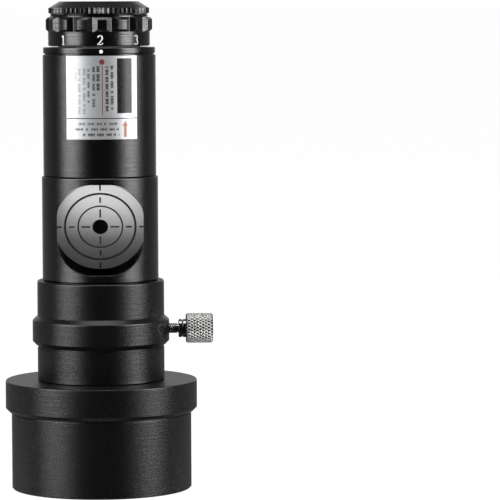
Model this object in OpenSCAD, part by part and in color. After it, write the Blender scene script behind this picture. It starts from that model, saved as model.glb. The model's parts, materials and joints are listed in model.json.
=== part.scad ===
// Laser collimator for a telescope, clamped in its adapter for a 2 inch focuser.
// Z is the optical axis, up. The origin is on that axis at the lower face of the 2 inch barrel.
// The window, the label and the index mark face -Y. The thumbscrew points along +X.

/* [Two inch barrel] */
// Outside diameter of the barrel that slides into a 2 inch focuser
barrel_d = 50.8; // [50.6:0.05:50.8]
// Length of the barrel below its flange
barrel_len = 21.9; // [18:0.1:28]
// Outside diameter of the flange that rests on the focuser
flange_d = 54.1; // [53.6:0.1:56]
// Height of the flange
flange_h = 8.8; // [8.8:0.1:12]

/* [Adapter sleeve] */
// Outside diameter of the sleeve above the flange
sleeve_d = 35.8; // [35.6:0.1:36.2]
// Height of the sleeve above the flange
sleeve_h = 28.25; // [27.9:0.05:31]
// Outside diameter of the raised band that holds the thumbscrew
band_d = 38.6; // [37.8:0.1:39]
// Height of the raised band above the flange
band_z = 10.1; // [9.5:0.1:11.5]
// Height of the raised band
band_h = 8.2; // [8.2:0.1:9]

/* [Thumbscrew] */
// Diameter of the thread
screw_d = 3; // [2.6:0.1:3]
// Diameter of the knurled head
head_d = 8.45; // [7:0.05:9]
// Length of the knurled head
head_len = 7.6; // [5:0.1:9]

/* [Lower body] */
// Outside diameter of the nose and of the main tube, the 1.25 inch size
tube_d = 31.75; // [31.7:0.01:31.75]
// Length of the nose below the window housing
nose_len = 33.7; // [32:0.1:36]
// Outside diameter of the window housing
housing_d = 32.72; // [32.5:0.02:33]
// Height of the window housing
housing_h = 29.35; // [29:0.05:31]
// Width of the window
window_w = 24.2; // [20:0.1:24.6]
// Height of the window
window_h = 25.4; // [22:0.1:26]
// Radius of the corners of the window
window_corner_r = 9.65; // [5:0.05:9.8]
// Diameter of the hole that the beam leaves and comes back through
beam_hole_d = 4.4; // [2:0.1:6]

/* [Main tube] */
// Height of the main tube above the window housing
main_h = 34.05; // [34.05:0.05:36]
// Angle of the label's left edge from the front
label_left = 34.8; // [20:0.1:36]
// Angle of the label's right edge from the front
label_right = 40.5; // [20:0.1:42]
// Height of the label
label_h = 23.1; // [15:0.1:23.1]

/* [Laser module] */
// Diameter of the brass laser module
module_d = 13; // [12.8:0.1:13]
// Length of the brass laser module
module_len = 19; // [19:0.1:19.4]

/* [Brightness dial] */
// Diameter of the fixed ring that carries the index mark
index_d = 31.5; // [30.4:0.02:31.6]
// Angle of the index mark from the front
index_angle = 2; // [-20:1:20]
// Diameter of the numbered band
number_d = 28.6; // [28.4:0.1:29]
// Height of the numbered band
number_h = 4.05; // [4:0.05:5]
// Diameter of the grip ring over its teeth
grip_d = 29.9; // [29.6:0.1:30.4]
// Height of the grip ring
grip_h = 4; // [4:0.1:4.6]
// Number of teeth round the grip ring
grip_teeth = 16; // [12:1:20]
// Depth of the valleys between the teeth
grip_valley = 0.9; // [0.6:0.05:1]
// Number of click positions in a full turn
dial_positions = 8; // [6:1:10]

/* [Battery cap] */
// Diameter of the serrated rim of the cap
cap_d = 28.3; // [28:0.1:29]
// Diameter of the flat top of the cap
cap_top_d = 22.2; // [16:0.1:24]
// Number of serrations round the rim
cap_serrations = 60; // [40:1:70]
// Diameter of the coin cell
cell_d = 20; // [19.8:0.1:20]

/* [Hidden] */
$fn = 96;
// Clearance of a thread, and of a part that another one is screwed or pressed into
thread_gap = 0.02;
// Clearance of a part that slides or turns in another
slide_gap = 0.05;
// Chamfer that breaks a turned edge
edge = 0.3;
// How far a cutting shape runs past the face that it cuts
over = 1;

barrel_r = barrel_d / 2;
barrel_bore_r = barrel_r - 2.4;
barrel_thread_r = barrel_r - 1.8;
barrel_thread_len = 5;
flange_r = flange_d / 2;
flange_top = barrel_len + flange_h;
flange_bevel = 1;
barrel_relief = 0.3;
web_z = flange_top - 6.5;

sleeve_r = sleeve_d / 2;
sleeve_top = flange_top + sleeve_h;
spigot_r = sleeve_r - 0.5;
band_r = band_d / 2;
band_z0 = flange_top + band_z;
band_z1 = band_z0 + band_h;
band_lip = 0.4;
relief_r = sleeve_r - 0.35;
relief_h = 0.6;

nose_r = tube_d / 2 - 0.025;
sleeve_bore_r = nose_r + slide_gap;
clamp_z = band_z0 + 4.2;
ring_groove_r = sleeve_bore_r + 1;
ring_groove_h = 5;
ring_h = 4.4;
ring_r0 = nose_r + 0.1;
ring_r1 = ring_groove_r - 0.15;
ring_slit = 2;

screw_r = screw_d / 2;
screw_hole_r = screw_r + 0.03;
pad_x0 = ring_r1 + 0.1;
pad_x1 = pad_x0 + 0.75;
screw_x0 = pad_x1 + slide_gap;
collar_x0 = band_r + 2.6;
collar_x1 = collar_x0 + 2.1;
head_x1 = collar_x1 + head_len;

housing_z0 = sleeve_top + slide_gap;
housing_z1 = housing_z0 + housing_h;
housing_r = housing_d / 2;
nose_z0 = housing_z0 - nose_len;
filter_r = 13.93;
filter_len = 4;
body_bore_r = 13;
body_thread_r = 14.3;
body_thread_z1 = housing_z1 + 5.95;
window_z = housing_z0 + 14.85;
target_r = body_bore_r - thread_gap;
target_z1 = housing_z1 + 1.95;
target_screw_z = window_z + 9;

main_r = tube_d / 2;
main_z0 = housing_z1;
main_z1 = main_z0 + main_h;
main_bore_r = 12.6;
main_thread_z1 = body_thread_z1 + 0.2;
board_z0 = main_z1 - 8.4;
board_r = 13.3;
board_t = 1.6;
spacer_z1 = main_z1 - 4.4;
index_spigot_r = 13.9;
label_z0 = main_z0 + 10.85;
label_t = 0.1;

pivot_z = main_thread_z1 + 2.1;
bush_z0 = main_thread_z1 + 0.4;
bush_z1 = pivot_z + 1.9;
bush_groove_h = 1.6;
o_ring_groove_r = 7.95;
o_ring_r = 0.65;
module_r = module_d / 2;
module_z0 = target_z1 + 3;
module_z1 = module_z0 + module_len;
module_bore_r = 4.8;
insert_r = module_bore_r - slide_gap;
aim_z = pivot_z + 11.7;
aim_tip_r = module_r + 0.2;
aim_screw_len = 8;
aim_screw_count = 3;
lens_barrel_z0 = module_z0 + 0.4;
lens_barrel_z1 = lens_barrel_z0 + 5;
lens_r = 3.45;
diode_z0 = module_z0 + 9.2;
diode_z1 = diode_z0 + 4;
driver_z0 = diode_z1 + 1.2;
lead_x = 1.6;

index_z0 = main_z1 + 0.35;
index_z1 = index_z0 + 1.75;
index_r = index_d / 2;
index_seam_r = index_r - 0.4;
mark_z = index_z0 + 0.72;
mark_r = 0.52;
stem_r = 8.9;
stem_hollow_r = 6.5;
dial_z0 = index_z1 + 0.35;
stem_z0 = main_z1 - 5.6;
number_r = number_d / 2;
grip_r = grip_d / 2;
grip_z0 = dial_z0 + number_h;
dial_z1 = grip_z0 + grip_h;
grip_bevel = 0.65;
valley_r = grip_r - grip_valley;
valley_flat = 0.1;
valley_spread = 1.95;
grip_offset = 3.5;
cell_bay_r = cell_d / 2 + 0.75;
cell_floor_z = dial_z0 + 1.05;
plug_r = 11.5;
plug_hole_r = plug_r + thread_gap;
plug_z0 = dial_z1 - 2.2;
detent_r = 12.9;
ball_r = 0.75;
ball_z = dial_z0 - 0.5;
track_depth = 0.3;
clip_z = stem_z0 + 0.35;
clip_h = 0.7;

cup_t = 0.6;
cell_z0 = cell_floor_z + 1;
cell_h = 3.2;
post_r = 0.8;

cap_z0 = dial_z1 + 0.1;
cap_neck_z1 = cap_z0 + 1;
cap_rim_z1 = cap_neck_z1 + 1.6;
cap_z1 = cap_rim_z1 + 1.7;
cap_r = cap_d / 2;
cap_neck_r = cap_r - 0.4;
cap_ceiling_z = cap_z0 - 0.4;
seal_r = 12.6;
seal_wire_r = 0.38;

BLACK = "#1d1d1f";
SILVER = "#c9cbcc";
STEEL = "#a9abad";
BRASS = "#b9974e";

// ---- Shared shapes ----

// A solid of revolution round Z, from the [radius, height] points of its half section
module turned(section) rotate_extrude() polygon(section);

// Rounds the corner between an outside wall of radius r and a top face at height z
function shoulder(r, z, e = 0.35) = [
    for (a = [0 : 30 : 90]) [r - e + e * cos(a), z - e + e * sin(a)]
];

// A plain ring
module ring(r0, r1, z0, z1) turned([[r0, z0], [r1, z0], [r1, z1], [r0, z1]]);

// Lays its children, made along Z, along +X at the height of the thumbscrew
module on_screw_axis() translate([0, 0, clamp_z]) rotate([0, 90, 0]) children();

// Lays its children, made along Z, outward from the axis at height z and angle a from +X
module radially(a, z) translate([0, 0, z]) rotate([0, 90, a]) children();

// A small grub screw along Z with a cone point and a hexagon socket
module grub_screw(len, r = 1.5, socket = 1.5) {
    difference() {
        turned([[0, 0], [0.7, 0], [r, 0.8], [r, len - 0.2], [r - 0.2, len], [0, len]]);
        translate([0, 0, len - 1.6]) cylinder(r = socket / sqrt(3), h = 1.6 + over, $fn = 6);
    }
}

// Joins rings of points, each of them one cross-section, into one closed solid
module skin(rings) {
    sides = len(rings[0]);
    last = len(rings) - 1;
    points = [for (r = rings) each r];
    walls = [
        for (i = [0 : last - 1], j = [0 : sides - 1])
            let (a = i * sides + j, b = i * sides + (j + 1) % sides)
            [a, b, b + sides, a + sides]
    ];
    start = [for (j = [sides - 1 : -1 : 0]) j];
    end = [for (j = [0 : sides - 1]) last * sides + j];
    polyhedron(points = points, faces = concat([start], walls, [end]));
}

// One ring of a coil's wire, at angle a, where the coil has radius r and height z
function coil_section(a, r, z, wire_r, sides) = [
    for (j = [0 : sides - 1])
        let (t = -360 * j / sides, out = r + wire_r * cos(t))
        [out * cos(a), out * sin(a), z + wire_r * sin(t)]
];

// A helical spring from z0 to z1, whose radius goes from r0 to r1
module coil(r0, r1, z0, z1, turns, wire_r) {
    per_turn = 20;
    count = turns * per_turn;
    skin([
        for (i = [0 : count])
            let (f = i / count)
            coil_section(360 * turns * f, r0 + (r1 - r0) * f,
                z0 + wire_r + (z1 - z0 - 2 * wire_r) * f, wire_r, 8)
    ]);
}

// A straight-ended wire that steps sideways from x0 to x1 between z0 and z1
module bent_wire(x0, x1, y, z0, z1, wire_r) {
    steps = 12;
    skin([
        for (i = [0 : steps])
            let (f = i / steps, x = x0 + (x1 - x0) * (1 - cos(180 * f)) / 2)
            [for (j = [0 : 7]) [
                x + wire_r * cos(45 * j), y + wire_r * sin(45 * j), z0 + (z1 - z0) * f
            ]]
    ]);
}

// ---- Adapter ----

// Barrel and flange, with a filter thread inside the lower end
module adapter_barrel() {
    color(BLACK)
    turned([
        [barrel_thread_r + edge, 0], [barrel_r - edge, 0],
        [barrel_r, edge], [barrel_r, barrel_len - 0.7],
        [barrel_r - 0.1, barrel_len - 0.45], [barrel_r - barrel_relief, barrel_len - 0.4],
        [barrel_r - barrel_relief, barrel_len],
        [flange_r - flange_bevel, barrel_len], [flange_r, barrel_len + flange_bevel],
        each shoulder(flange_r, flange_top),
        [spigot_r + thread_gap, flange_top], [spigot_r + thread_gap, web_z],
        [barrel_bore_r, web_z], [barrel_bore_r, barrel_thread_len],
        [barrel_thread_r, barrel_thread_len], [barrel_thread_r, edge]
    ]);
}

// Sleeve that holds the nose, screwed into the flange
module adapter_sleeve() {
    groove_z0 = clamp_z - ring_groove_h / 2;
    groove_z1 = clamp_z + ring_groove_h / 2;
    color(BLACK)
    difference() {
        turned([
            [spigot_r, web_z], [spigot_r, flange_top],
            [sleeve_r - edge, flange_top], [sleeve_r, flange_top + edge],
            [sleeve_r, band_z0 - edge - relief_h], [relief_r, band_z0 - edge - relief_h],
            [relief_r, band_z0 - edge], [sleeve_r, band_z0 - edge],
            [sleeve_r + band_lip, band_z0], [band_r, band_z0 + 1],
            [band_r, band_z1 - 1.5], [band_r - 0.12, band_z1 - 1.2], [sleeve_r, band_z1],
            each shoulder(sleeve_r, sleeve_top, 0.5),
            [sleeve_bore_r + edge, sleeve_top], [sleeve_bore_r, sleeve_top - edge],
            [sleeve_bore_r, groove_z1], [ring_groove_r, groove_z1],
            [ring_groove_r, groove_z0], [sleeve_bore_r, groove_z0],
            [sleeve_bore_r, web_z]
        ]);
        on_screw_axis() translate([0, 0, sleeve_bore_r - over])
            cylinder(r = screw_hole_r, h = band_r - sleeve_bore_r + 2 * over);
    }
}

// Split brass ring that spreads the thumbscrew's pressure round the nose
module compression_ring() {
    color(BRASS)
    difference() {
        ring(ring_r0, ring_r1, clamp_z - ring_h / 2, clamp_z + ring_h / 2);
        translate([-ring_r1 - over, -ring_slit / 2, clamp_z - ring_h])
            cube([ring_r1, ring_slit, 2 * ring_h]);
    }
}

// Brass pad on the end of the thumbscrew
module pressure_pad() {
    color(BRASS)
    on_screw_axis() translate([0, 0, pad_x0]) cylinder(r = screw_r - 0.3, h = pad_x1 - pad_x0);
}

// Thumbscrew with a two-step collar and a knurled head
module thumbscrew() {
    head_r = head_d / 2;
    collar_r = 2.6;
    groove_x = (collar_x0 + collar_x1) / 2;
    color(STEEL)
    on_screw_axis()
    turned([
        [0, screw_x0], [screw_r - edge, screw_x0], [screw_r, screw_x0 + edge],
        [screw_r, collar_x0], [collar_r - 0.2, collar_x0], [collar_r, collar_x0 + 0.2],
        [collar_r, groove_x - 0.2], [collar_r - edge, groove_x],
        [collar_r, groove_x + 0.2], [collar_r, collar_x1],
        [head_r - 0.4, collar_x1], [head_r, collar_x1 + 0.4],
        [head_r, head_x1 - 0.4], [head_r - 0.4, head_x1], [0, head_x1]
    ]);
}

// ---- Lower body ----

// Outline of the window, centred on the origin
module window_outline() {
    x = window_w / 2 - window_corner_r;
    z = window_h / 2 - window_corner_r;
    square([window_w, 2 * z], center = true);
    square([2 * x, window_h], center = true);
    for (i = [-1, 1], j = [-1, 1]) translate([i * x, j * z]) circle(r = window_corner_r);
}

// Nose and window housing in one piece
module lower_body() {
    color(BLACK)
    difference() {
        turned([
            [filter_r + edge, nose_z0], [nose_r - 0.4, nose_z0], [nose_r, nose_z0 + 0.4],
            [nose_r, housing_z0], [housing_r - 0.4, housing_z0], [housing_r, housing_z0 + 0.4],
            each shoulder(housing_r, housing_z1, 0.4),
            [body_thread_r, housing_z1], [body_thread_r, body_thread_z1],
            [body_bore_r, body_thread_z1], [body_bore_r, nose_z0 + filter_len],
            [filter_r, nose_z0 + filter_len], [filter_r, nose_z0 + edge]
        ]);
        translate([0, 0, window_z]) rotate([90, 0, 0])
            linear_extrude(height = housing_r + over) window_outline();
        radially(90, target_screw_z) cylinder(r = 1.52, h = housing_r + over);
    }
}

// Plug whose 45 degree face, down and to the front, is the target
module target_plate() {
    half = 30;
    bottom_z = window_z - target_r;
    color(SILVER)
    difference() {
        translate([0, 0, bottom_z]) cylinder(r = target_r, h = target_z1 - bottom_z);
        translate([0, 0, window_z]) rotate([-45, 0, 0])
            translate([-half, -half, -2 * half]) cube([2 * half, 2 * half, 2 * half]);
        translate([0, 0, window_z - half]) cylinder(r = beam_hole_d / 2, h = 2 * half);
    }
}

// Screw that holds the target plate from behind
module target_screw() {
    color(STEEL)
    radially(90, target_screw_z) translate([0, 0, body_bore_r + thread_gap]) grub_screw(3);
}

// ---- Main tube ----

// Angles of the aiming screws from +X: the front one is under the label
function aim_angle(i) = -90 + 360 * i / aim_screw_count;

// Tube that holds the laser module, the switch and the index ring
module main_tube() {
    color(BLACK)
    difference() {
        turned([
            [body_thread_r + thread_gap, main_z0], [main_r - edge, main_z0],
            [main_r, main_z0 + edge], each shoulder(main_r, main_z1, 0.25),
            [index_spigot_r + thread_gap, main_z1], [index_spigot_r + thread_gap, spacer_z1],
            [board_r + 0.1, spacer_z1], [board_r + 0.1, board_z0],
            [main_bore_r, board_z0], [main_bore_r, main_thread_z1],
            [body_thread_r + thread_gap, main_thread_z1]
        ]);
        for (i = [0 : aim_screw_count - 1])
            radially(aim_angle(i), aim_z) cylinder(r = 1.52, h = main_r + over);
    }
}

// Printed silver foil round the front of the main tube
module label() {
    r = main_r + 0.01;
    color(SILVER)
    rotate([0, 0, -90 - label_left]) rotate_extrude(angle = label_left + label_right)
        translate([r, label_z0]) square([label_t, label_h]);
}

// Fixed ring with the index mark, which the dial turns in
module index_ring() {
    color(BLACK)
    difference() {
        turned([
            [stem_r + slide_gap, spacer_z1], [index_spigot_r, spacer_z1],
            [index_spigot_r, main_z1], [index_seam_r, main_z1], [index_seam_r, index_z0],
            [index_r - 0.25, index_z0], [index_r, index_z0 + 0.25],
            each shoulder(index_r, index_z1, 0.25),
            [stem_r + slide_gap, index_z1]
        ]);
        translate([0, detent_r, index_z1 - 4.2]) cylinder(r = ball_r + slide_gap, h = 4.2 + over);
        radially(-90 + index_angle, mark_z)
            translate([0, 0, index_r - 0.4]) cylinder(r = mark_r, h = over);
    }
}

// Paint that fills the index mark
module index_dot() {
    color("white")
    radially(-90 + index_angle, mark_z)
        translate([0, 0, index_r - 0.4]) cylinder(r = mark_r - 0.01, h = 0.42);
}

// Ball that clicks into the dimples under the dial
module detent_ball() {
    color(STEEL)
    translate([0, detent_r, ball_z]) sphere(r = ball_r);
}

// Spring under the detent ball
module detent_spring() {
    color(STEEL)
    translate([0, detent_r, 0])
        coil(0.55, 0.55, index_z1 - 4.15, ball_z - ball_r - 0.03, 5, 0.13);
}

// ---- Switch ----

// Circuit board under the dial's stem
module switch_board() {
    color("#1d5a35") translate([0, 0, board_z0]) cylinder(r = board_r, h = board_t);
}

// Gold pads that the wiper runs on: one for each position and a ring inside them
module contact_pads() {
    z = board_z0 + board_t;
    color("#d9b44a") {
        ring(3, 3.8, z, z + 0.04);
        for (i = [0 : dial_positions - 1])
            rotate([0, 0, 360 * i / dial_positions]) translate([4.8, -0.6, z]) cube([1.2, 1.2, 0.04]);
    }
}

// Chip under the board that sets the current
module driver_chip() {
    color("#2a2a2c") translate([5, -2, board_z0 - 0.8]) cube([5, 4, 0.8]);
}

// Resistors under the board, one for each step of brightness
module resistors() {
    color("#b8a888")
    for (i = [0 : dial_positions - 2])
        rotate([0, 0, 60 + 35 * i]) translate([7.2, -0.5, board_z0 - 0.45]) cube([1.6, 1, 0.45]);
}

// Ring that holds the board down under the index ring
module board_spacer() {
    color("#3a3a3c") ring(board_r - 1, board_r + 0.05, board_z0 + board_t, spacer_z1);
}

// ---- Laser module ----

// Bush with the groove for the rubber ring that the module tilts in
module pivot_bush() {
    groove_z0 = pivot_z - bush_groove_h / 2;
    groove_z1 = pivot_z + bush_groove_h / 2;
    color(SILVER)
    turned([
        [module_r + 0.25, bush_z0], [main_bore_r - thread_gap, bush_z0],
        [main_bore_r - thread_gap, bush_z1], [module_r + 0.25, bush_z1],
        [module_r + 0.25, groove_z1], [o_ring_groove_r, groove_z1],
        [o_ring_groove_r, groove_z0], [module_r + 0.25, groove_z0]
    ]);
}

// Rubber ring that the module tilts in
module pivot_ring() {
    color("#262626")
    translate([0, 0, pivot_z]) rotate_extrude()
        translate([module_r + o_ring_r + slide_gap, 0]) circle(r = o_ring_r, $fn = 32);
}

// Screws that push the module sideways, one at the front and two behind
module aim_screw(i) {
    color(STEEL)
    radially(aim_angle(i), aim_z) translate([0, 0, aim_tip_r]) grub_screw(aim_screw_len);
}
module aim_screw_front() aim_screw(0);
module aim_screw_right() aim_screw(1);
module aim_screw_left() aim_screw(2);

// Brass housing of the laser
module module_housing() {
    color(BRASS)
    turned([
        [module_bore_r, module_z0], [module_r - edge, module_z0], [module_r, module_z0 + edge],
        [module_r, module_z1 - edge], [module_r - edge, module_z1], [module_bore_r, module_z1]
    ]);
}

// Screwed-in holder of the lens
module lens_barrel() {
    color(BRASS)
    turned([
        [2, lens_barrel_z0], [insert_r, lens_barrel_z0], [insert_r, lens_barrel_z1],
        [lens_r + slide_gap, lens_barrel_z1], [lens_r + slide_gap, lens_barrel_z0 + 1],
        [2, lens_barrel_z0 + 1]
    ]);
}

// Lens that makes the beam parallel
module collimating_lens() {
    middle = lens_barrel_z0 + 2.2;
    curve_r = 8;
    color("#a8c4d8")
    intersection() {
        translate([0, 0, middle + curve_r - 1.2]) sphere(r = curve_r);
        translate([0, 0, middle - curve_r + 1.2]) sphere(r = curve_r);
        translate([0, 0, middle - 2]) cylinder(r = lens_r, h = 4);
    }
}

// Spring that takes the play out of the lens thread
module lens_spring() {
    color(STEEL) coil(4.1, 4.1, lens_barrel_z1 + 0.03, diode_z0 - 0.03, 4, 0.25);
}

// Sleeve that holds the laser diode
module diode_holder() {
    color(BRASS)
    turned([
        [1.95, diode_z0], [insert_r, diode_z0], [insert_r, diode_z1],
        [2.85, diode_z1], [2.85, diode_z0 + 1.8], [1.95, diode_z0 + 1.8]
    ]);
}

// Laser diode with its flange and three legs
module laser_diode() {
    flange_z = diode_z0 + 1.8;
    color("#c2b48a") {
        turned([
            [0, diode_z0 - 0.4], [1.8, diode_z0 - 0.4], [1.8, flange_z],
            [2.8, flange_z], [2.8, flange_z + 1.2], [0, flange_z + 1.2]
        ]);
        for (i = [0 : 2])
            rotate([0, 0, 120 * i]) translate([1, 0, flange_z + 1])
                cylinder(r = 0.22, h = driver_z0 - flange_z - 1);
    }
}

// Round circuit board behind the diode, with its parts
module driver_board() {
    color("#1d5a35") translate([0, 0, driver_z0]) cylinder(r = 4.6, h = 1);
    color("#2a2a2c") translate([-1, 1.2, driver_z0 + 1]) cube([2, 1.6, 0.8]);
    color("#b8a888") translate([-1, -2.6, driver_z0 + 1]) cube([2, 1.2, 0.6]);
}

// Two wires from the driver board up to the switch board
module leads() {
    color("#a02020")
        bent_wire(lead_x + 1.4, lead_x, 0, driver_z0 + 1, board_z0 - 0.15, 0.4);
    color("#202020")
        bent_wire(-lead_x - 1.4, -lead_x, 0, driver_z0 + 1, board_z0 - 0.15, 0.4);
}

// ---- Brightness dial ----

// Turned blank of the dial: stem, numbered band, grip ring and battery bay
module dial_blank() {
    turned([
        [stem_hollow_r, stem_z0], [stem_r, stem_z0],
        [stem_r, clip_z], [stem_r - 0.6, clip_z],
        [stem_r - 0.6, clip_z + clip_h], [stem_r, clip_z + clip_h],
        [stem_r, dial_z0], [detent_r - 0.7, dial_z0],
        [detent_r - 0.7, dial_z0 + track_depth], [detent_r + 0.7, dial_z0 + track_depth],
        [detent_r + 0.7, dial_z0], [number_r - edge, dial_z0], [number_r, dial_z0 + edge],
        [number_r, grip_z0], [grip_r, grip_z0 + grip_bevel],
        [grip_r, dial_z1 - grip_bevel], [grip_r - grip_bevel, dial_z1],
        [plug_hole_r, dial_z1], [plug_hole_r, plug_z0 - edge],
        [cell_bay_r, plug_z0 - edge], [cell_bay_r, cell_floor_z],
        [post_r + 0.8, cell_floor_z], [post_r + 0.8, dial_z0], [stem_hollow_r, dial_z0]
    ]);
}

// Dial: the blank with its grip teeth and the dimples for the detent ball
module brightness_dial() {
    pitch = 360 / grip_teeth;
    mouth = valley_flat / 2 + (grip_valley + over) * valley_spread;
    color(BLACK)
    difference() {
        dial_blank();
        for (i = [0 : grip_teeth - 1])
            rotate([0, 0, -90 + grip_offset + pitch * (i + 0.5)]) translate([0, 0, grip_z0])
                linear_extrude(height = grip_h + over) polygon([
                    [valley_r, -valley_flat / 2], [grip_r + over, -mouth],
                    [grip_r + over, mouth], [valley_r, valley_flat / 2]
                ]);
        for (i = [0 : dial_positions - 1])
            rotate([0, 0, 90 + 360 * i / dial_positions])
                translate([detent_r, 0, dial_z0 + track_depth - 0.4]) sphere(r = 0.6, $fn = 32);
    }
}

// Plastic washer that the dial glides on
module glide_washer() {
    color("#d8d8d0") ring(stem_r + 0.3, 11.5, index_z1 + 0.02, dial_z0 - 0.02);
}

// Spring clip that keeps the dial's stem in the index ring
module circlip() {
    color(STEEL)
    difference() {
        ring(stem_r - 0.55, stem_r + 1.7, clip_z + slide_gap, clip_z + clip_h - slide_gap);
        translate([0, -1.5, clip_z - over]) cube([stem_r + 3, 3, 3]);
    }
}

// Spring leaf with three fingers that run on the pads
module wiper() {
    leaf_z = stem_z0 - 0.2;
    tip_z = board_z0 + board_t + 0.1;
    color("#c79a55")
    for (i = [0 : 2]) rotate([0, 0, 120 * i - 90]) {
        translate([post_r + 0.1, -0.6, leaf_z]) cube([5, 1.2, 0.2]);
        translate([5.4, 0, tip_z]) cylinder(r = 0.45, h = leaf_z - tip_z);
        translate([3.4, 0, tip_z]) cylinder(r = 0.35, h = leaf_z - tip_z);
    }
}

// Plastic disc in the stem that carries the wiper
module wiper_carrier() {
    color("#e4e0d4") ring(post_r + 0.03, stem_hollow_r - 0.03, stem_z0, stem_z0 + 2.2);
}

// Brass post from the cell's contact down to the wiper
module contact_post() {
    color(BRASS) translate([0, 0, stem_z0 - 0.3])
        cylinder(r = post_r, h = cell_floor_z + cup_t - stem_z0 + 0.3);
}

// Plastic cup that keeps the cell off the metal
module battery_cup() {
    color("#303033")
    turned([
        [post_r + 0.03, dial_z0 - 0.6], [post_r + 0.75, dial_z0 - 0.6],
        [post_r + 0.75, cell_floor_z], [cell_bay_r - 0.05, cell_floor_z],
        [cell_bay_r - 0.05, cell_z0 + 2.6], [cell_d / 2 + 0.2, cell_z0 + 2.6],
        [cell_d / 2 + 0.2, cell_floor_z + cup_t], [post_r + 0.03, cell_floor_z + cup_t]
    ]);
}

// Plate with three fingers under the cell
module negative_contact() {
    z = cell_floor_z + cup_t;
    color("#c79a55") {
        translate([0, 0, z]) cylinder(r = 4, h = 0.2);
        for (i = [0 : 2]) rotate([0, 0, 120 * i]) translate([2.6, -0.7, z + 0.2]) cube([1.3, 1.4, 0.18]);
    }
}

// Coin cell, positive side up
module coin_cell() {
    r = cell_d / 2;
    color("#c4c6c8")
    turned([
        [0, cell_z0], [r - 1.3, cell_z0], [r - 1, cell_z0 + 0.3], [r - 0.4, cell_z0 + 0.35],
        [r, cell_z0 + 0.75], [r, cell_z0 + cell_h - 0.25],
        [r - 0.25, cell_z0 + cell_h], [0, cell_z0 + cell_h]
    ]);
}

// ---- Battery cap ----

// Rubber ring under the cap
module cap_seal_ring() {
    color("#262626")
    translate([0, 0, cap_z0 + seal_wire_r - 0.06]) rotate_extrude()
        translate([seal_r, 0]) circle(r = seal_wire_r, $fn = 24);
}

// Conical spring that presses on the cell
module cap_spring() {
    color(STEEL) coil(5.5, 2.5, cell_z0 + cell_h + 0.05, cap_ceiling_z - 0.03, 3, 0.3);
}

// Screw cap with a serrated rim
module battery_cap() {
    seal_gap = seal_wire_r + 0.17;
    seal_top = cap_z0 + 2 * seal_wire_r;
    notch_depth = 0.31;
    notch_spread = 2.14;
    notch_mouth = (notch_depth + over) * notch_spread;
    neck_ledge = cap_z0 + 0.35;
    color(BLACK)
    difference() {
        turned([
            [0, cap_ceiling_z], [plug_r - 1.7, cap_ceiling_z], [plug_r - 1.7, plug_z0],
            [plug_r - 0.3, plug_z0], [plug_r, plug_z0 + 0.3], [plug_r, cap_z0],
            [seal_r - seal_gap, cap_z0], [seal_r - seal_gap, seal_top],
            [seal_r + seal_gap, seal_top], [seal_r + seal_gap, cap_z0],
            [cap_neck_r, cap_z0], [cap_neck_r, neck_ledge],
            [cap_neck_r - 0.25, neck_ledge + 0.1], [cap_neck_r, cap_neck_z1],
            [cap_r - 0.15, cap_neck_z1], [cap_r, cap_neck_z1 + 0.15],
            [cap_r, cap_rim_z1 - 0.15], [cap_r - 0.3, cap_rim_z1],
            [cap_top_d / 2, cap_z1], [0, cap_z1]
        ]);
        for (i = [0 : cap_serrations - 1])
            rotate([0, 0, 360 * i / cap_serrations]) translate([0, 0, cap_neck_z1 - 0.1])
                linear_extrude(height = cap_rim_z1 - cap_neck_z1 + 0.6) polygon([
                    [cap_r - notch_depth, 0], [cap_r + over, -notch_mouth], [cap_r + over, notch_mouth]
                ]);
    }
}

// ---- One line for each node ----

adapter_barrel();
adapter_sleeve();
compression_ring();
pressure_pad();
thumbscrew();
lower_body();
target_plate();
target_screw();
main_tube();
label();
index_ring();
index_dot();
detent_ball();
detent_spring();
switch_board();
contact_pads();
driver_chip();
resistors();
board_spacer();
pivot_bush();
pivot_ring();
aim_screw_front();
aim_screw_left();
aim_screw_right();
module_housing();
lens_barrel();
collimating_lens();
lens_spring();
diode_holder();
laser_diode();
driver_board();
leads();
brightness_dial();
glide_washer();
circlip();
wiper();
wiper_carrier();
contact_post();
battery_cup();
negative_contact();
coin_cell();
cap_seal_ring();
cap_spring();
battery_cap();
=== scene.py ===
"""Laser collimator in its 2 inch adapter: camera, lights, materials and fine detail over the CAD frame."""
import json
import math

import bmesh
import bpy
from mathutils import Matrix, Vector


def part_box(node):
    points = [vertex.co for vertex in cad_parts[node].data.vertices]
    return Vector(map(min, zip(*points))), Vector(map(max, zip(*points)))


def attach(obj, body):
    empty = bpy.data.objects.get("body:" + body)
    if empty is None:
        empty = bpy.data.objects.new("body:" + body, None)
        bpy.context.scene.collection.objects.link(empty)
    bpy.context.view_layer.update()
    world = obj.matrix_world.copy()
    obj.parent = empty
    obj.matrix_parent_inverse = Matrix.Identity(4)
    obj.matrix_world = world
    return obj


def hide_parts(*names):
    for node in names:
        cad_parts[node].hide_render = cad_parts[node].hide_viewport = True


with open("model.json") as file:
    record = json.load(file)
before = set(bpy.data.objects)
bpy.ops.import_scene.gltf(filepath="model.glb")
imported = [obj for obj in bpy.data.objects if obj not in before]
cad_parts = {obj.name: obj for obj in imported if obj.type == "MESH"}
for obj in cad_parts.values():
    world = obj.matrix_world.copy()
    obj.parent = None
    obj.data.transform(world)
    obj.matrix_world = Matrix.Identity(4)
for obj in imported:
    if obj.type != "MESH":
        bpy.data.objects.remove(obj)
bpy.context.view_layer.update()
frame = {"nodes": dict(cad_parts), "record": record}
NODES = frame["nodes"]
MM = 0.001
TAU = 2 * math.pi

# ---- Places and sizes, read from the frame ----

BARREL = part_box("adapter_barrel")
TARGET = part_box("target_plate")
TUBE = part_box("main_tube")
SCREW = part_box("thumbscrew")
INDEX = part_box("index_ring")

TARGET_R = TARGET[1].x
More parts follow.
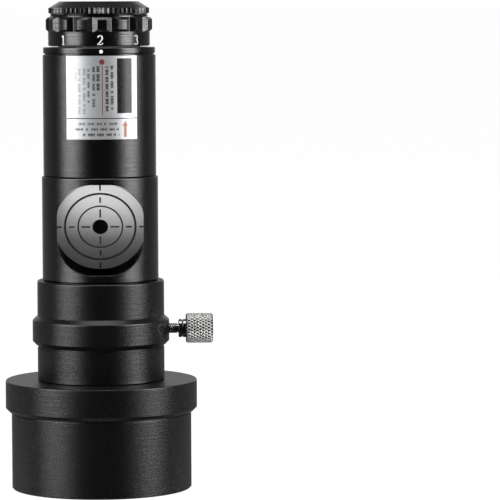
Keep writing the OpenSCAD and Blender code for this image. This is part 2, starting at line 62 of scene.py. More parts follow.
# The 45 degree face starts at the bottom of the plug's back, so it crosses the axis one radius higher
TARGET_Z = TARGET[0].z + TARGET_R

# The label's foil is 0.11 mm thick, and its edges are at these azimuths in degrees
LABEL_R = TUBE[1].x + 0.11 * MM
LABEL_LEFT, LABEL_RIGHT = -34.8, 40.5

# The thumbscrew: knurled head, collar and threaded shank
SCREW_Z = (SCREW[0].z + SCREW[1].z) / 2
HEAD_R = (SCREW[1].z - SCREW[0].z) / 2
HEAD_LEN = 7.6 * MM
COLLAR_LEN = 2.1 * MM
COLLAR_R = 2.6 * MM
SHANK_R = 1.5 * MM
KNURL_DEPTH = 0.5 * MM

# The dial's numbered band: its lower edge, its radius and the middle of its numbers
DIAL_Z0 = INDEX[1].z + 0.35 * MM
NUMBER_R = 14.3 * MM
NUMBER_Z = DIAL_Z0 + 1.75 * MM

# How far a print stands above the surface under it
PRINT = 0.015 * MM


# ---- Camera, light and floor ----

def add_camera():
    """The viewpoint of a long lens, a little above the object's top and turned to its right."""
    distance, height = 920 * MM, 139 * MM
    pitch, yaw, roll = math.radians(-4.47), math.radians(-2.63), math.radians(-0.2)
    data = bpy.data.cameras.new("camera")
    data.lens = 235.1
    data.sensor_width = 36
    data.clip_start = 0.01
    data.clip_end = 100
    camera = bpy.data.objects.new("camera", data)
    bpy.context.scene.collection.objects.link(camera)
    turn = Matrix.Rotation(yaw, 4, "Z") @ Matrix.Rotation(math.pi / 2 + pitch, 4, "X")
    turn = turn @ Matrix.Rotation(roll, 4, "Z")
    camera.matrix_world = Matrix.Translation((0, -distance, height)) @ turn
    bpy.context.scene.camera = camera


def add_softbox(name, azimuth, elevation, distance, size, radiance, glossy=True, diffuse=True):
    """A soft box that faces the object. Azimuth 0 is at the front, and positive is towards +X."""
    width, height = size
    data = bpy.data.lights.new(name, "AREA")
    data.shape = "RECTANGLE"
    data.size = width
    data.size_y = height
    data.energy = radiance * math.pi * width * height
    light = bpy.data.objects.new(name, data)
    turn, lift = math.radians(azimuth), math.radians(elevation)
    aim = Vector((0, 0, 70 * MM))
    toward = Vector((math.sin(turn) * math.cos(lift), -math.cos(turn) * math.cos(lift), math.sin(lift)))
    light.location = aim + distance * toward
    light.rotation_euler = (-toward).to_track_quat("-Z", "Y").to_euler()
    light.visible_camera = False
    light.visible_glossy = glossy
    light.visible_diffuse = diffuse
    bpy.context.scene.collection.objects.link(light)


def add_lights():
    """Soft boxes at both sides, overhead, behind and low down, and a small card for the target."""
    add_softbox("softbox_left", azimuth=-61, elevation=20, distance=1.05, size=(0.68, 0.95), radiance=4.5)
    add_softbox("softbox_right", azimuth=66, elevation=20, distance=1.05, size=(0.56, 0.95), radiance=5.6)
    add_softbox("softbox_top", azimuth=0, elevation=84, distance=1.0, size=(0.7, 0.5), radiance=2.2)
    add_softbox("softbox_back", azimuth=180, elevation=12, distance=1.4, size=(1.1, 0.9), radiance=0.45)
    # These act in reflections only, so that bevels that face down read, as they do over a pale table
    for azimuth, radiance in ((-118, 0.9), (-62, 1.1), (62, 1.1), (118, 0.9)):
        add_softbox(f"softbox_low_{azimuth % 360}", azimuth, elevation=-26, distance=1.1, size=(0.6, 0.35),
                    radiance=radiance, diffuse=False)
    add_softbox("softbox_under", azimuth=0, elevation=-90, distance=1.1, size=(0.5, 0.5), radiance=0.5,
                diffuse=False)
    # Light from the table on the target's face
    add_softbox("table_card", azimuth=-36, elevation=-38, distance=0.11, size=(0.12, 0.06), radiance=5.5,
                glossy=False)


def add_world():
    """White for the camera. For reflections, a dark room in front and a dim pale wall behind."""
    # The room's glow in a direction grows with that direction's Y, from front to back
    front, back = -0.1, 0.7
    front_glow, back_glow = 0.007, 0.17
    world = bpy.data.worlds.new("studio")
    world.use_nodes = True
    tree = world.node_tree
    tree.nodes.clear()
    out = tree.nodes.new("ShaderNodeOutputWorld")
    mix = tree.nodes.new("ShaderNodeMixShader")
    path = tree.nodes.new("ShaderNodeLightPath")
    room = tree.nodes.new("ShaderNodeBackground")
    seen = tree.nodes.new("ShaderNodeBackground")
    place = tree.nodes.new("ShaderNodeTexCoord")
    split = tree.nodes.new("ShaderNodeSeparateXYZ")
    depth = tree.nodes.new("ShaderNodeMapRange")
    depth.inputs["From Min"].default_value = front
    depth.inputs["From Max"].default_value = back
    depth.inputs["To Min"].default_value = front_glow
    depth.inputs["To Max"].default_value = back_glow
    tree.links.new(place.outputs["Generated"], split.inputs["Vector"])
    tree.links.new(split.outputs["Y"], depth.inputs["Value"])
    tree.links.new(depth.outputs["Result"], room.inputs["Strength"])
    tree.links.new(path.outputs["Is Camera Ray"], mix.inputs["Fac"])
    tree.links.new(room.outputs["Background"], mix.inputs[1])
    tree.links.new(seen.outputs["Background"], mix.inputs[2])
    tree.links.new(mix.outputs["Shader"], out.inputs["Surface"])
    room.inputs["Color"].default_value = (1, 1, 1, 1)
    seen.inputs["Color"].default_value = (1, 1, 1, 1)
    bpy.context.scene.world = world


def add_floor():
    """A pale plain floor that casts no shadow and stays out of the black metal's reflections."""
    size = 60.0
    data = bpy.data.meshes.new("floor")
    bm = bmesh.new()
    bmesh.ops.create_grid(bm, x_segments=2, y_segments=2, size=size / 2)
    bm.to_mesh(data)
    bm.free()
    floor = bpy.data.objects.new("floor", data)
    bpy.context.scene.collection.objects.link(floor)
    floor.visible_glossy = False
    floor.visible_shadow = False
    material = bpy.data.materials.new("pale_floor")
    material.use_nodes = True
    shader = material.node_tree.nodes["Principled BSDF"]
    shader.inputs["Base Color"].default_value = (0.10, 0.10, 0.10, 1)
    shader.inputs["Roughness"].default_value = 1.0
    shader.inputs["Specular IOR Level"].default_value = 0.0
    shader.inputs["Emission Color"].default_value = (1, 1, 1, 1)
    shader.inputs["Emission Strength"].default_value = 0.98
    data.materials.append(material)


# ---- Material building blocks ----

class Shader:
    """One procedural material: a Principled shader with helpers that add the nodes in front of it."""

    def __init__(self, name, color, metallic=0.0, roughness=0.4, **sockets):
        self.material = bpy.data.materials.new(name)
        self.material.use_nodes = True
        self.tree = self.material.node_tree
        self.bsdf = self.tree.nodes["Principled BSDF"]
        self.set(self.bsdf, "Base Color", (*color, 1))
        self.set(self.bsdf, "Metallic", metallic)
        self.set(self.bsdf, "Roughness", roughness)
        for key, value in sockets.items():
            self.set(self.bsdf, key.replace("_", " "), value)
        coordinates = self.add("ShaderNodeTexCoord")
        self.place = coordinates.outputs["Object"]
        self.normal = coordinates.outputs["Normal"]

    def add(self, kind, **sockets):
        node = self.tree.nodes.new(kind)
        for key, value in sockets.items():
            self.set(node, key.replace("_", " "), value)
        return node

    def set(self, node, key, value):
        node.inputs[key].default_value = value

    def link(self, output, node, key):
        self.tree.links.new(output, node.inputs[key])

    def scaled(self, scale):
        """The object's own coordinates, multiplied by scale along each axis."""
        mapping = self.add("ShaderNodeMapping")
        mapping.inputs["Scale"].default_value = scale
        self.link(self.place, mapping, "Vector")
        return mapping.outputs["Vector"]

    def noise(self, scale, detail=2.0, rough=0.5):
        """Noise whose features are about 1/scale of a metre."""
        node = self.add("ShaderNodeTexNoise", Scale=1.0, Detail=detail, Roughness=rough)
        size = scale if isinstance(scale, tuple) else (scale, scale, scale)
        self.link(self.scaled(size), node, "Vector")
        return node.outputs["Fac"]

    def ranged(self, value, low, high, start=0.3, end=0.7):
        """value, spread from start..end to low..high."""
        node = self.add("ShaderNodeMapRange")
        node.inputs["From Min"].default_value = start
        node.inputs["From Max"].default_value = end
        node.inputs["To Min"].default_value = low
        node.inputs["To Max"].default_value = high
        self.link(value, node, "Value")
        return node.outputs["Result"]

    def mixed(self, factor, color_a, color_b):
        """color_a where factor is 0 and color_b where it is 1."""
        node = self.add("ShaderNodeMix")
        node.data_type = "RGBA"
        for socket, color in ((6, color_a), (7, color_b)):
            if isinstance(color, tuple):
                node.inputs[socket].default_value = (*color, 1)
            else:
                self.tree.links.new(color, node.inputs[socket])
        self.link(factor, node, "Factor")
        return node.outputs[2]

    def math(self, operation, a, b):
        node = self.add("ShaderNodeMath")
        node.operation = operation
        for i, value in enumerate((a, b)):
            if isinstance(value, (int, float)):
                node.inputs[i].default_value = value
            else:
                self.tree.links.new(value, node.inputs[i])
        return node.outputs["Value"]

    def bump(self, height, strength, distance):
        node = self.add("ShaderNodeBump", Strength=strength, Distance=distance)
        self.link(height, node, "Height")
        self.link(node.outputs["Normal"], self.bsdf, "Normal")


def black_anodised(name, roughness, grain, lines, gloss=1.8, dull_top=0.0):
    """Black anodised aluminium: a fine blasted grain over turning lines.

    gloss is the coat's refractive index, and dull_top is how much rougher a face that points up is.
    """
    dark, light = 0.0005, 0.002
    spread = 0.05
    # A face is taken to point up where its normal's height goes from level_from to level
    level_from, level = 0.95, 0.99
    s = Shader(name, (light, light, light), roughness=roughness, IOR=gloss)
    fine = s.noise((2600, 2600, 3600), detail=3, rough=0.7)
    turned = s.noise((60, 60, 2400), detail=2, rough=0.6)
    facing = s.add("ShaderNodeSeparateXYZ")
    s.link(s.normal, facing, "Vector")
    rough = s.ranged(fine, roughness - spread, roughness + spread)
    duller = s.ranged(facing.outputs["Z"], 0, dull_top, level_from, level)
    s.link(s.math("ADD", rough, duller), s.bsdf, "Roughness")
    s.link(s.mixed(fine, (dark, dark, dark), (light, light, light * 1.06)), s.bsdf, "Base Color")
    height = s.math("ADD", s.ranged(fine, 0, grain), s.ranged(turned, 0, lines))
    s.bump(height, 1.0, 0.03 * MM)
    return s.material


def plain_metal(name, color, roughness, scale=2500, spread=0.12, strength=0.25):
    """Machined metal with a fine random grain."""
    s = Shader(name, color, metallic=1.0, roughness=roughness)
    fine = s.noise(scale, detail=3)
    s.link(s.ranged(fine, roughness - spread / 2, roughness + spread / 2), s.bsdf, "Roughness")
    dark = tuple(c * 0.86 for c in color)
    s.link(s.mixed(fine, dark, color), s.bsdf, "Base Color")
    s.bump(fine, strength, 0.02 * MM)
    return s.material


def plain_solid(name, color, roughness, scale=2500, strength=0.3):
    """Plastic, rubber or paint with a slightly uneven colour and surface."""
    s = Shader(name, color, roughness=roughness)
    fine = s.noise(scale, detail=3)
    dark = tuple(c * 0.8 for c in color)
    s.link(s.mixed(fine, dark, color), s.bsdf, "Base Color")
    s.link(s.ranged(fine, roughness - 0.06, roughness + 0.06), s.bsdf, "Roughness")
    s.bump(fine, strength, 0.02 * MM)
    return s.material


def target_aluminium():
    """Pale blasted aluminium with faint straight tool marks, and painted shade inside the beam hole."""
    s = Shader("target_aluminium", (0.8, 0.8, 0.8), metallic=0.15, roughness=0.5)
    fine = s.noise(2600, detail=3)
    marks = s.noise((160, 2600, 160), detail=2)
    tone = s.math("MULTIPLY", s.math("ADD", fine, marks), 0.5)
    pale = s.mixed(tone, (0.5, 0.5, 0.5), (0.72, 0.72, 0.72))
    split = s.add("ShaderNodeSeparateXYZ")
    s.link(s.place, split, "Vector")
    x, y = split.outputs["X"], split.outputs["Y"]
    square = s.math("ADD", s.math("MULTIPLY", x, x), s.math("MULTIPLY", y, y))
    # A hair over the hole's own radius, so that its wall is inside
    hole_r = 2.23 * MM
    hole_shade_mask = s.math("LESS_THAN", square, hole_r * hole_r)
    # Painted shade: the beam hole's wall is coloured near black
    s.link(s.mixed(hole_shade_mask, pale, (0.004, 0.004, 0.004)), s.bsdf, "Base Color")
    s.link(s.ranged(fine, 0.42, 0.6), s.bsdf, "Roughness")
    s.bump(s.math("ADD", fine, marks), 0.3, 0.02 * MM)
    return s.material


def silver_foil():
    """Satin silver foil with a slight unevenness from the tube and a fine grain."""
    s = Shader("label_foil", (0.76, 0.77, 0.78), metallic=0.85, roughness=0.45)
    fine = s.noise(2400, detail=3)
    broad = s.noise(180, detail=1)
    s.link(s.mixed(fine, (0.62, 0.63, 0.65), (0.80, 0.81, 0.82)), s.bsdf, "Base Color")
    s.link(s.ranged(broad, 0.42, 0.5), s.bsdf, "Roughness")
    s.bump(s.math("ADD", s.math("MULTIPLY", broad, 2.0), fine), 0.35, 0.015 * MM)
    return s.material


def knurled_nickel():
    """Bright nickel plate with painted shade in its cuts: none at radius shallow, black at radius deep."""
    deep, shallow = HEAD_R - 0.6 * KNURL_DEPTH, HEAD_R - 0.2 * KNURL_DEPTH
    s = Shader("nickel_plate", (0.8, 0.79, 0.77), metallic=0.78, roughness=0.3)
    fine = s.noise(2500, detail=2)
    split = s.add("ShaderNodeSeparateXYZ")
    s.link(s.place, split, "Vector")
    y = split.outputs["Y"]
    up = s.math("SUBTRACT", split.outputs["Z"], SCREW_Z)
    square = s.math("ADD", s.math("MULTIPLY", y, y), s.math("MULTIPLY", up, up))
    radius = s.math("POWER", square, 0.5)
    # Painted shade: the knurl's cuts go towards black with depth
    cut = s.ranged(radius, 1.0, 0.0, deep, shallow)
    on_head = s.math("GREATER_THAN", radius, COLLAR_R + 0.3 * MM)
    painted_shade = s.math("MULTIPLY", cut, on_head)
    s.link(s.mixed(painted_shade, (0.98, 0.97, 0.95), (0.006, 0.006, 0.006)), s.bsdf, "Base Color")
    s.link(s.ranged(fine, 0.24, 0.36), s.bsdf, "Roughness")
    s.bump(fine, 0.2, 0.015 * MM)
    return s.material


def lens_glass():
    """Clear coated glass, faintly blue."""
    s = Shader("lens_glass", (0.86, 0.94, 1.0), roughness=0.04, IOR=1.52)
    s.set(s.bsdf, "Transmission Weight", 1.0)
    s.link(s.ranged(s.noise(400), 0.02, 0.08), s.bsdf, "Roughness")
    return s.material


def make_materials():
    """One material for each slot of the record, and variants for parts and prints that differ a little."""
    return {
        "black_anodised": black_anodised("black_anodised", 0.22, 0.75, 0.6),
        "black_adapter": black_anodised("black_adapter", 0.29, 0.65, 0.45, gloss=1.62, dull_top=0.1),
        "black_dial": black_anodised("black_dial", 0.21, 0.3, 1.0),
        "black_cap": black_anodised("black_cap", 0.21, 0.3, 1.0, dull_top=0.4),
        "bare_aluminium": plain_metal("bare_aluminium", (0.75, 0.76, 0.77), 0.35),
        "target_aluminium": target_aluminium(),
        "brass": plain_metal("brass", (0.72, 0.52, 0.24), 0.28),
        "nickel_plate": knurled_nickel(),
        "polished_nickel": plain_metal("polished_nickel", (0.62, 0.61, 0.6), 0.16, spread=0.06),
        "screw_steel": plain_metal("screw_steel", (0.42, 0.42, 0.43), 0.32),
        "spring_steel": plain_metal("spring_steel", (0.55, 0.55, 0.56), 0.25),
        "label_foil": silver_foil(),
        "dark_ink": plain_solid("dark_ink", (0.01, 0.01, 0.011), 0.25, strength=0.1),
        "red_ink": plain_solid("red_ink", (0.18, 0.024, 0.03), 0.4, strength=0.1),
        "pale_red_ink": plain_solid("pale_red_ink", (0.52, 0.2, 0.155), 0.5, strength=0.1),
        "white_paint": plain_solid("white_paint", (0.8, 0.8, 0.79), 0.5),
        "circuit_board": plain_solid("circuit_board", (0.02, 0.16, 0.07), 0.35, scale=900),
        "gold_plate": plain_metal("gold_plate", (0.85, 0.62, 0.25), 0.22),
        "black_plastic": plain_solid("black_plastic", (0.02, 0.02, 0.021), 0.5),
        "white_plastic": plain_solid("white_plastic", (0.78, 0.76, 0.7), 0.45),
        "ceramic_body": plain_solid("ceramic_body", (0.55, 0.46, 0.34), 0.6),
        "black_rubber": plain_solid("black_rubber", (0.012, 0.012, 0.012), 0.65, scale=1500),
        "lens_glass": lens_glass(),
        "wire_insulation": plain_solid("wire_insulation", (0.4, 0.02, 0.02), 0.4),
        "spring_bronze": plain_metal("spring_bronze", (0.75, 0.45, 0.25), 0.3),
        "cell_steel": plain_metal("cell_steel", (0.68, 0.68, 0.69), 0.28),
    }


def paint_nodes():
    """Gives every CAD node the material of its slot, or a finer variant of it."""
    special = {
        "target_plate": "target_aluminium",
        "adapter_barrel": "black_adapter", "adapter_sleeve": "black_adapter",
        "brightness_dial": "black_dial", "battery_cap": "black_cap", "index_ring": "black_dial",
    }
    for part in frame["record"]["subparts"]:
        name = special.get(part["node"], part["material_slot"])
        slots = NODES[part["node"]].data.materials
        for i in range(len(slots)):
            slots[i] = MATERIALS[name]


def add_piece(name, bm, body, slot, material=None, smooth=False):
    """Makes a piece from bm that rides on body and takes its finish from slot."""
    bmesh.ops.recalc_face_normals(bm, faces=bm.faces)
    data = bpy.data.meshes.new(name)
    bm.to_mesh(data)
    bm.free()
    for polygon in data.polygons:
        polygon.use_smooth = smooth
    data.materials.append(MATERIALS[material or slot])
    piece = bpy.data.objects.new(name, data)
    bpy.context.scene.collection.objects.link(piece)
    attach(piece, body)
    return piece


# ---- Prints: thin closed plates on the face that place() maps flat points to ----

def sheet(bm, place, low, high, closed=False):
    """A closed plate between two edges, each a list of flat (x, y) points."""
    loops = [[bm.verts.new(place(p, h)) for p in line] for h in (-PRINT, PRINT) for line in (low, high)]
    under_low, under_high, top_low, top_high = loops
    count = len(low)
    for i in range(count if closed else count - 1):
        j = (i + 1) % count
        bm.faces.new((top_low[i], top_low[j], top_high[j], top_high[i]))
        bm.faces.new((under_low[i], under_high[i], under_high[j], under_low[j]))
        bm.faces.new((under_low[i], under_low[j], top_low[j], top_low[i]))
        bm.faces.new((under_high[i], top_high[i], top_high[j], under_high[j]))
    if not closed:
        for i in (0, count - 1):
            bm.faces.new((under_low[i], top_low[i], top_high[i], under_high[i]))


def steps(start, end, count):
    """count + 1 evenly spaced values from start to end."""
    return [start + (end - start) * i / count for i in range(count + 1)]


def bar(bm, place, x0, x1, y0, y1):
    """A rectangle, cut across x often enough to follow a curved face."""
    xs = steps(x0, x1, max(1, round(abs(x1 - x0) / (0.8 * MM))))
    sheet(bm, place, [(x, y0) for x in xs], [(x, y1) for x in xs])


def disc(bm, place, x, y, r):
    """A round dot."""
    xs = [r * math.cos(math.pi * (1 - i / 16)) for i in range(1, 16)]
    half = [math.sqrt(r * r - d * d) for d in xs]
    low = [(x + d, y - h) for d, h in zip(xs, half)]
    high = [(x + d, y + h) for d, h in zip(xs, half)]
    sheet(bm, place, low, high)


def stroke(bm, place, points, thin, thick, closed=False):
    """A pen stroke along points: thick where it runs up or down, and thin where it runs across."""
    count = len(points)
    low, high = [], []
    for i, (x, y) in enumerate(points):
        before = points[i - 1] if closed or i > 0 else points[0]
        after = points[(i + 1) % count] if closed or i < count - 1 else points[-1]
        dx, dy = after[0] - before[0], after[1] - before[1]
        length = math.hypot(dx, dy)
        half = (thin + (thick - thin) * abs(dy) / length) / 2
        low.append((x + half * dy / length, y - half * dx / length))
        high.append((x - half * dy / length, y + half * dx / length))
    sheet(bm, place, low, high, closed)


def arc(cx, cy, rx, ry, start, end, count=14):
    """Points on an ellipse from angle start to angle end, in degrees."""
    return [(cx + rx * math.cos(math.radians(a)), cy + ry * math.sin(math.radians(a)))
            for a in steps(start, end, count)]


# ---- The target's markings ----

def on_target(point, height):
    """Maps a point seen along the beam to the 45 degree face, whose outside is down and to the front."""
    x, y = point
    lift = height / math.sqrt(2)
    return Vector((x, y - lift, TARGET_Z - y - lift))


def add_target_markings():
    """Two rings, and a cross broken into three dashes on each arm."""
    rings = ((9.95 * MM, 0.6 * MM), (6.25 * MM, 0.44 * MM))
    dashes = ((2.85 * MM, 5.3 * MM), (7.2 * MM, 8.9 * MM), (10.9 * MM, 12.85 * MM))
    half = 0.24 * MM
    bm = bmesh.new()
    for radius, width in rings:
        inner = arc(0, 0, radius - width / 2, radius - width / 2, 0, 360, 96)[:-1]
        outer = arc(0, 0, radius + width / 2, radius + width / 2, 0, 360, 96)[:-1]
        sheet(bm, on_target, inner, outer, closed=True)
    for start, end in dashes:
        for side in (-1, 1):
            bar(bm, on_target, side * start, side * end, -half, half)
            bar(bm, on_target, -half, half, side * start, side * end)
    add_piece("target_markings", bm, "collimator", "dark_ink")


# ---- The label's print ----

def on_label(point, height):
    """Maps (distance round from the front, height up) to the foil's outside."""
    x, z = point
    angle = x / LABEL_R
    r = LABEL_R + height
    return Vector((r * math.sin(angle), -r * math.cos(angle), z))


def round_front(degrees):
    """Distance round the foil from the front."""
    return math.radians(degrees) * LABEL_R


def words(start, end, seed):
    """Pieces of start..end of uneven length with gaps between, like the words of a line."""
    shortest, step, gap, least = 1.1, 0.55, 0.36 * MM, 0.5 * MM
    pieces, at, k = [], start, seed
    while at < end - least:
        length = (shortest + step * (k % 4)) * MM
        stop = min(at + length, end)
        pieces.append((at, stop))
        at = stop + gap
        k = (k * 5 + 3) % 7
    return pieces


def greeked(bm, middle, width, start, end, upright, seed, pen):
    """A line of nonsense ticks in place of small print, along z if upright and else round the tube."""
    pitch = 0.41 * MM
    spine = 0.4 * pen
    for low, high in words(start, end, seed):
        count = max(1, int((high - low) / pitch))
        for i in range(count):
            tall = width / 2 if (i * 3 + seed) % 4 else width / 3
            at = low + i * pitch
            if upright:
                bar(bm, on_label, middle - tall, middle + tall, at, at + pen)
            else:
                bar(bm, on_label, at, at + pen, middle - tall, middle + tall)
        last = low + (count - 1) * pitch + pen
        if upright:
            bar(bm, on_label, middle - spine, middle + spine, low, last)
        else:
            bar(bm, on_label, low, last, middle - spine, middle + spine)


def add_label_print():
    """Generic print: a dark block, a divider, lines of ticks, and a red dot, line and arrow."""
    inset = 0.02 * MM
    left, right = round_front(LABEL_LEFT) + inset, round_front(LABEL_RIGHT) - inset
    bm = bmesh.new()
    bar(bm, on_label, left, right, 104.88 * MM, 105.12 * MM)
    # Each column's azimuth in degrees, and its lower end and pen width in mm: heavier on the right
    columns = (
        (12.7, 107.4, 0.22), (7.6, 107.0, 0.25), (-1.2, 112.8, 0.24), (-5.6, 108.2, 0.17),
        (-10.9, 109.4, 0.13), (-15.3, 106.4, 0.09), (-20.3, 106.4, 0.06), (-24.4, 115.6, 0.04),
    )
    for i, (azimuth, low, pen) in enumerate(columns):
        greeked(bm, round_front(azimuth), 0.9 * MM, low * MM, 119.8 * MM, True, i, pen * MM)
    # Each row's height in mm, its two ends in degrees, and its pen width in mm
    rows = ((103.5, -21, 21.8, 0.14), (102.0, -24.7, 21.8, 0.16), (100.5, -16.8, 21.8, 0.21))
    for i, (z, start, end, pen) in enumerate(rows):
        greeked(bm, z * MM, 0.8 * MM, round_front(start), round_front(end), False, i + 2, pen * MM)
    add_piece("label_print", bm, "collimator", "dark_ink")

    bm = bmesh.new()
    bar(bm, on_label, round_front(17.9), round_front(34.2), 106.4 * MM, 121.6 * MM)
    add_piece("label_block", bm, "collimator", "dark_ink")

    bm = bmesh.new()
    middle, half = round_front(3), 0.1 * MM
    disc(bm, on_label, round_front(2.7), 120.6 * MM, 0.75 * MM)
    bar(bm, on_label, middle - half, middle + half, 105.9 * MM, 119.5 * MM)
    add_piece("label_red_line", bm, "collimator", "red_ink")

    bm = bmesh.new()
    middle, base, neck, tip = round_front(26.5), 99.8 * MM, 102.9 * MM, 104.4 * MM
    stem, half, barb = 0.42 * MM, 0.85 * MM, 0.02 * MM
    bar(bm, on_label, middle - stem, middle + stem, base, neck)
    xs = steps(-half, half, 6)
    low = [(middle + x, neck) for x in xs]
    high = [(middle + x, neck + barb + (tip - neck) * (1 - abs(x) / half)) for x in xs]
    sheet(bm, on_label, low, high)
    add_piece("label_arrow", bm, "collimator", "red_ink", "pale_red_ink")


# ---- The dial's numbers ----

def digit_strokes(digit):
    """A digit's pen strokes in a box 0.6 wide and 1 high. A stroke that ends where it starts is closed."""
    return {
        0: [arc(0.3, 0.5, 0.24, 0.47, 0, 360, 28)],
        1: [[(0.3, 0.03), (0.3, 0.97)], [(0.12, 0.8), (0.28, 0.95)], [(0.1, 0.03), (0.5, 0.03)]],
        2: [arc(0.3, 0.72, 0.22, 0.25, 165, -35) + [(0.3, 0.3), (0.06, 0.06)],
            [(0.04, 0.05), (0.5, 0.05), (0.56, 0.2)]],
        3: [arc(0.28, 0.74, 0.2, 0.23, 155, -90), arc(0.28, 0.27, 0.24, 0.24, 90, -155)],
        4: [[(0.42, 0.97), (0.04, 0.3)], [(0.02, 0.28), (0.58, 0.28)], [(0.42, 0.97), (0.42, 0.03)],
            [(0.28, 0.03), (0.56, 0.03)]],
        5: [[(0.14, 0.95), (0.52, 0.95)], [(0.14, 0.95), (0.1, 0.55)],
            arc(0.27, 0.31, 0.24, 0.27, 125, -155)],
        6: [arc(0.54, 0.36, 0.46, 0.6, 100, 178), arc(0.3, 0.29, 0.22, 0.25, 0, 360, 28)],
        7: [[(0.05, 0.78), (0.07, 0.95), (0.55, 0.95)], [(0.54, 0.93), (0.24, 0.03)]],
    }[digit]


def add_dial_numbers():
    """0 to 7 round the numbered band, with 2 at the front and 3 towards +X."""
    step, offset = 45, 1.2
    height = 2.7 * MM
    thin, thick = 0.2 * MM, 0.42 * MM
    bm = bmesh.new()
    for digit in range(8):
        turn = math.radians(step * (digit - 2) + offset)

        def on_band(point, lift):
            angle = turn + (point[0] - 0.3) * height / NUMBER_R
            r = NUMBER_R + lift
            return Vector((r * math.sin(angle), -r * math.cos(angle), NUMBER_Z + (point[1] - 0.5) * height))

        for points in digit_strokes(digit):
            closed = math.dist(points[0], points[-1]) < 1e-6
            stroke(bm, on_band, points[:-1] if closed else points, thin / height, thick / height, closed)
    add_piece("dial_numbers", bm, "dial", "white_paint")


# ---- The thumbscrew ----

def on_screw(x, r, angle):
    """A point at distance r from the thumbscrew's axis."""
    return Vector((x, r * math.cos(angle), SCREW_Z + r * math.sin(angle)))


def close_end(bm, ring, x):
    """Closes a ring of vertices with a fan to the axis."""
    hub = bm.verts.new(on_screw(x, 0, 0))
    for i in range(len(ring)):
        bm.faces.new((ring[i], ring[(i + 1) % len(ring)], hub))


def triangle_wave(t):
    """0 at whole numbers and 1 halfway between them."""
    return 1 - abs(2 * (t % 1) - 1)


def add_screw_head():
    """Knurled head: crossing V grooves leave small flat-topped pyramids, with pits at the crossings."""
    around, per_period = 29, 8
    rows = 38
    flat, bevel = 0.45, 0.4 * MM
    # A groove takes the first part of the knurl's depth, and a pit the rest
    groove_part, pit_part = 0.35, 0.65
    # A pit is full at a crossing, and gets shallower as the higher of the two waves rises
    pit_top, pit_fall = 1.75, 2.5
    sides = around * per_period
    x1 = SCREW[1].x
    x0 = x1 - HEAD_LEN
    bm = bmesh.new()
    rings = []
    for i, x in enumerate(steps(x0, x1, rows)):
        ring = []
        for j in range(sides):
            s, t = j / per_period, i / per_period
            a, b = triangle_wave(s + t), triangle_wave(s - t)
            wall = min(a, b, flat) / flat
            pit = min(1, max(0, pit_top - pit_fall * max(a, b)))
            r = HEAD_R - KNURL_DEPTH * (groove_part * (1 - wall) + pit_part * pit)
            end = min(x - x0, x1 - x)
            r = min(r, HEAD_R - max(0, bevel - end))
            ring.append(bm.verts.new(on_screw(x, r, TAU * j / sides)))
        rings.append(ring)
    for i in range(rows):
        for j in range(sides):
            k = (j + 1) % sides
            a, b, c, d = rings[i][j], rings[i][k], rings[i + 1][k], rings[i + 1][j]
            if (i + j + 1) % per_period == 0:
                bm.faces.new((a, b, d))
                bm.faces.new((b, c, d))
            else:
                bm.faces.new((a, b, c))
                bm.faces.new((a, c, d))
    # The outer end has a shallow turned dish, and the inner one is flat
    dish = 0.15 * MM
    ends = (
        (rings[0], x0, ((COLLAR_R * 0.9, 0),)),
        (rings[-1], x1, ((HEAD_R - 0.75 * MM, 0), (HEAD_R - 0.95 * MM, -dish), (0.5 * MM, -dish))),
    )
    for ring, x, profile in ends:
        for r, shift in profile:
            inner = [bm.verts.new(on_screw(x + shift, r, TAU * j / sides)) for j in range(sides)]
            for j in range(sides):
                k = (j + 1) % sides
                bm.faces.new((ring[j], ring[k], inner[k], inner[j]))
            ring = inner
        close_end(bm, ring, x + profile[-1][1])
    head = add_piece("thumbscrew_head", bm, "thumbscrew", "nickel_plate")
    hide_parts("thumbscrew")


def add_screw_shank():
    """Threaded shank and the collar with its turned groove."""
    pitch, depth = 0.5 * MM, 0.28 * MM
    # The thread's root is flat below the first part of its wave, and its crest above the second
    root, top = 0.12, 0.85
    sides, per_pitch = 72, 12
    x0 = SCREW[0].x
    x2 = SCREW[1].x - HEAD_LEN + 0.02 * MM
    x1 = x2 - COLLAR_LEN
    tip = 0.3 * MM
    relief = 0.35 * MM
    groove = (x1 + x2) / 2
    rings = []
    count = round((x1 - relief - x0) / pitch * per_pitch)
    for x in steps(x0, x1 - relief, count):
        ring = []
        for j in range(sides):
            turn = j / sides
            wave = triangle_wave((x - x0) / pitch - turn)
            crest = min(max(wave, root), top)
            r = SHANK_R - depth * (top - crest)
            ring.append((x, min(r, SHANK_R - max(0, tip - (x - x0)))))
        rings.append(ring)
    root_r = SHANK_R - 0.3 * MM
    profile = (
        (x1 - relief, root_r), (x1, root_r), (x1, COLLAR_R - 0.2 * MM), (x1 + 0.2 * MM, COLLAR_R),
        (groove - 0.22 * MM, COLLAR_R), (groove, COLLAR_R - 0.32 * MM), (groove + 0.22 * MM, COLLAR_R),
        (x2 - 0.1 * MM, COLLAR_R), (x2, COLLAR_R - 0.1 * MM),
    )
    for x, r in profile:
        rings.append([(x, r)] * sides)
    bm = bmesh.new()
    loops = []
    for ring in rings:
        loops.append([bm.verts.new(on_screw(x, r, TAU * j / sides)) for j, (x, r) in enumerate(ring)])
    for near, far in zip(loops, loops[1:]):
        for j in range(sides):
            k = (j + 1) % sides
            bm.faces.new((near[j], near[k], far[k], far[j]))
    close_end(bm, loops[0], x0)
    close_end(bm, loops[-1], x2)
    add_piece("thumbscrew_shank", bm, "thumbscrew", "nickel_plate", "polished_nickel")


# ---- The barrel's filter thread ----

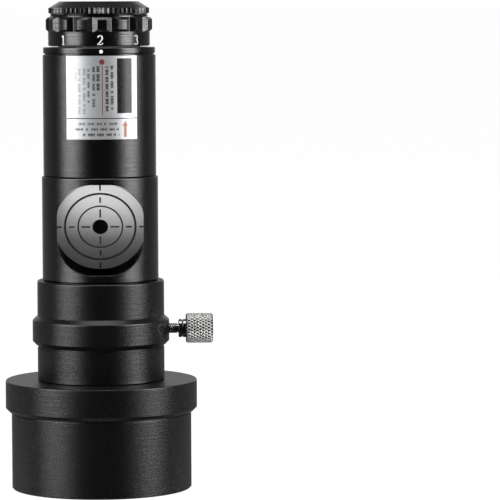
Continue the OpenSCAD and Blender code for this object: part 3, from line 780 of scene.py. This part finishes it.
def add_barrel():
    """The barrel and flange again, with the filter thread cut inside the lower end."""
    sides, pitch, per_pitch = 192, 0.75 * MM, 8
    thread_r, depth = 23.6 * MM, 0.4 * MM
    thread_len, runout = 5 * MM, 0.5 * MM
    # The thread's crest is flat over the first part of its wave, and its groove deepens over the next
    crest, groove = 0.12, 0.76
    edge, relief, bevel, rounding = 0.3 * MM, 0.3 * MM, 1 * MM, 0.35 * MM
    relief_start, relief_mid, relief_end = 0.7 * MM, 0.45 * MM, 0.4 * MM
    # A ring this close to a rounded edge keeps the straight wall's shading straight
    guard = 0.03 * MM
    barrel_r, flange_r, top = 25.4 * MM, BARREL[1].x, BARREL[1].z
    flange_z, web_z = top - 8.8 * MM, top - 6.5 * MM
    bore_r, spigot_r = 23 * MM, 17.42 * MM
    profile = [
        (barrel_r - edge, 0), (barrel_r, edge), (barrel_r, flange_z - relief_start - guard),
        (barrel_r, flange_z - relief_start),
        (barrel_r - 0.1 * MM, flange_z - relief_mid), (barrel_r - relief, flange_z - relief_end),
        (barrel_r - relief, flange_z), (flange_r - bevel, flange_z), (flange_r, flange_z + bevel),
        (flange_r, top - rounding - guard),
    ]
    profile += arc(flange_r - rounding, top - rounding, rounding, rounding, 0, 90, 6)
    profile += [
        (flange_r - rounding - guard, top), (spigot_r, top), (spigot_r, web_z), (bore_r, web_z),
        (bore_r, thread_len),
    ]
    rings = [[point] * sides for point in profile]
    count = round((thread_len - edge) / pitch * per_pitch)
    for z in steps(thread_len, edge, count):
        ring = []
        for j in range(sides):
            wave = triangle_wave(z / pitch - j / sides)
            cut = depth * min(max(wave - crest, 0), groove) / groove
            fade = min(1, (thread_len - z) / runout)
            ring.append((thread_r + cut * fade, z))
        rings.append(ring)
    rings.append([(thread_r + depth, 0)] * sides)
    bm = bmesh.new()
    loops = []
    for ring in rings:
        loops.append([bm.verts.new((r * math.cos(TAU * j / sides), r * math.sin(TAU * j / sides), z))
                      for j, (r, z) in enumerate(ring)])
    for near, far in zip(loops, loops[1:] + loops[:1]):
        for j in range(sides):
            k = (j + 1) % sides
            bm.faces.new((near[j], near[k], far[k], far[j]))
    barrel = add_piece("two_inch_barrel", bm, "adapter", "black_anodised", "black_adapter", smooth=True)
    barrel.data.set_sharp_from_angle(angle=math.radians(20))
    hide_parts("adapter_barrel")


MATERIALS = make_materials()
paint_nodes()
add_target_markings()
add_label_print()
add_dial_numbers()
add_screw_head()
add_screw_shank()
add_barrel()

bpy.context.scene.view_settings.view_transform = "Standard"
add_camera()
add_world()
add_lights()
add_floor()
